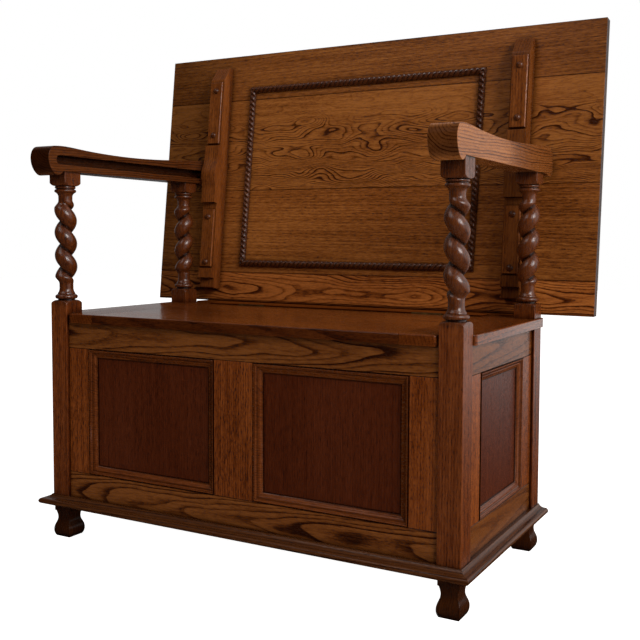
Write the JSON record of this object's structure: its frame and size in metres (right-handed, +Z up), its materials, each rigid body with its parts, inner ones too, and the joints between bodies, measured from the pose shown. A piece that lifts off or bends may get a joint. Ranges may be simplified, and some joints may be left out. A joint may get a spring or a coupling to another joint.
{
  "type": "monks bench",
  "caption": "Oak box seat with a lifting lid, panelled front, barley-twist posts and slotted arms; its tall back tilts forward on wooden pins to become a table.",
  "frame": {"origin": "middle of the bounding box, on the floor under the feet", "axes": "+Z up, +Y towards the back of the bench, +X towards the right-hand end seen from the front"},
  "size_m": [1.022, 0.5366, 0.9891],
  "materials": {
    "oak": "polished shellac over brown stain",
    "oak_top": "polished shellac over golden-brown stain",
    "oak_seat": "polished shellac over golden-brown stain",
    "oak_panel": "polished dark stain",
    "oak_dark": "polished, nearly black",
    "oak_inside": "bare, dry",
    "brass": "dull, aged"
  },
  "bodies": {
    "base": {"back_bottom_rail": "oak", "back_panel": "oak_inside", "back_top_rail": "oak", "chest_floor": "oak_inside", "floor_bearers": "oak_inside", "front_bottom_rail": "oak", "front_left_foot": "oak", "front_left_moulding": "oak_panel", "front_left_panel": "oak_panel", "front_left_post": "oak", "front_left_stile": "oak", "front_muntin": "oak", "front_right_foot": "oak", "front_right_moulding": "oak_panel", "front_right_panel": "oak_panel", "front_right_post": "oak", "front_right_stile": "oak", "front_top_rail": "oak", "left_arm": "oak", "left_bottom_rail": "oak", "left_front_stile": "oak", "left_moulding": "oak_panel", "left_panel": "oak_panel", "left_rear_stile": "oak", "left_top_rail": "oak", "lid_hinge_fixed_leaves": "brass", "lid_hinge_fixed_screws": "brass", "lid_hinge_pins": "brass", "plinth_front": "oak", "plinth_left": "oak", "plinth_right": "oak", "rear_left_foot": "oak", "rear_left_post": "oak", "rear_right_foot": "oak", "rear_right_post": "oak", "right_arm": "oak", "right_bottom_rail": "oak", "right_front_stile": "oak", "right_moulding": "oak_panel", "right_panel": "oak_panel", "right_rear_stile": "oak", "right_top_rail": "oak", "seat_back_strip": "oak_seat", "seat_left_end": "oak_seat", "seat_right_end": "oak_seat"},
    "lid": {"seat_lid": "oak_seat", "lid_cleats": "oak_inside", "lid_hinge_lid_leaves": "brass", "lid_hinge_lid_screws": "brass"},
    "top": {"top_plank_lower": "oak_top", "top_plank_lower_middle": "oak_top", "top_plank_upper_middle": "oak_top", "top_plank_upper": "oak_top", "left_batten": "oak", "right_batten": "oak", "batten_slips": "oak", "batten_pegs": "oak", "pivot_pins": "oak", "rope_moulding": "oak_dark"}
  },
  "joints": [
    {"name": "lid_hinge", "type": "hinge", "parent": "base", "child": "lid", "pos_m": [0, 0.12496, 0.4312], "axis": [-1, 0, 0], "range_deg": [0, 60]},
    {"name": "top_tilt", "type": "hinge", "parent": "base", "child": "top", "pos_m": [0, 0.18655, 0.7175], "axis": [1, 0, 0], "range_deg": [0, 96.27]}
  ]
}
